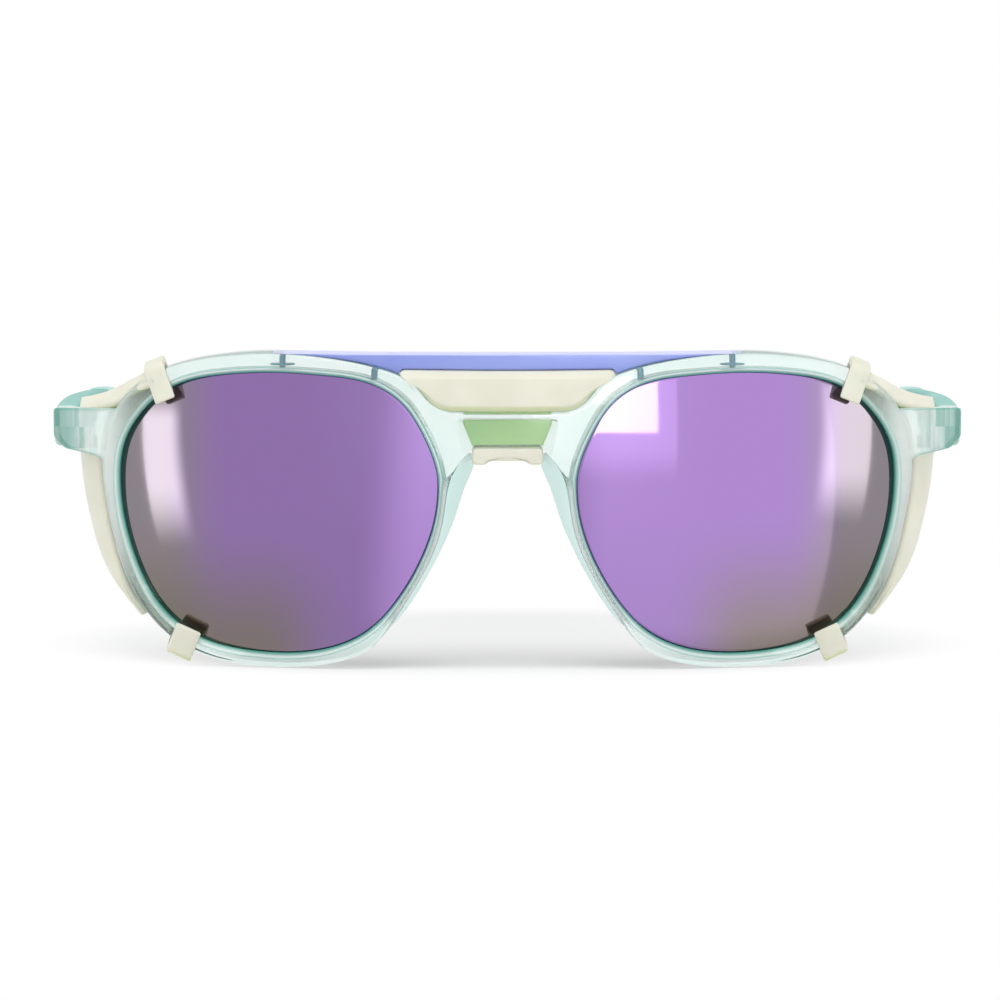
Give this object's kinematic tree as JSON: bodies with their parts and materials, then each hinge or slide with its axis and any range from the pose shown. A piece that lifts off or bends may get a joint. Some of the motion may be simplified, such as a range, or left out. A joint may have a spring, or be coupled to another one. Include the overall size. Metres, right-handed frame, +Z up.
{
  "type": "glacier glasses",
  "caption": "Round-eyed glacier glasses with a straight brow bar, bridge guard, clip-on side shields and folding temples.",
  "frame": {"origin": "on the floor plane, under the middle of the open glasses' box", "axes": "+X to the right of a viewer facing the lenses, -Y the way the lenses look, +Z up"},
  "size_m": [0.1496, 0.1418, 0.0514],
  "materials": {
    "clear_mint_polyamide": "clear, polished, tinted mint",
    "mint_sleeve": "soft satin sleeve",
    "periwinkle_bar": "satin lacquer",
    "cream_rubber": "matt moulded",
    "purple_mirror_lens": "purple flash mirror",
    "spring_steel": "drawn wire",
    "screw_steel": "polished"
  },
  "bodies": {
    "front": {"front_frame": "clear_mint_polyamide", "brow_bar": "periwinkle_bar", "bridge_guard": "cream_rubber", "nose_saddle": "cream_rubber", "lens_left": "purple_mirror_lens", "lens_right": "purple_mirror_lens", "nose_pad_left": "clear_mint_polyamide", "nose_pad_right": "clear_mint_polyamide", "side_shield_left": "cream_rubber", "side_shield_right": "cream_rubber", "hinge_screw_left": "screw_steel", "hinge_screw_right": "screw_steel", "hinge_nut_left": "screw_steel", "hinge_nut_right": "screw_steel"},
    "temple_left": {"temple_arm_left": "clear_mint_polyamide", "temple_core_left": "spring_steel", "temple_tip_left": "mint_sleeve"},
    "temple_right": {"temple_arm_right": "clear_mint_polyamide", "temple_core_right": "spring_steel", "temple_tip_right": "mint_sleeve"}
  },
  "joints": [
    {"name": "temple_left_fold", "type": "hinge", "parent": "front", "child": "temple_left", "pos_m": [-0.067, -0.04695, 0.03825], "axis": [0, 0, -1], "range_deg": [0, 86]},
    {"name": "temple_right_fold", "type": "hinge", "parent": "front", "child": "temple_right", "pos_m": [0.067, -0.04695, 0.03825], "axis": [0, 0, 1], "range_deg": [0, 80]}
  ]
}
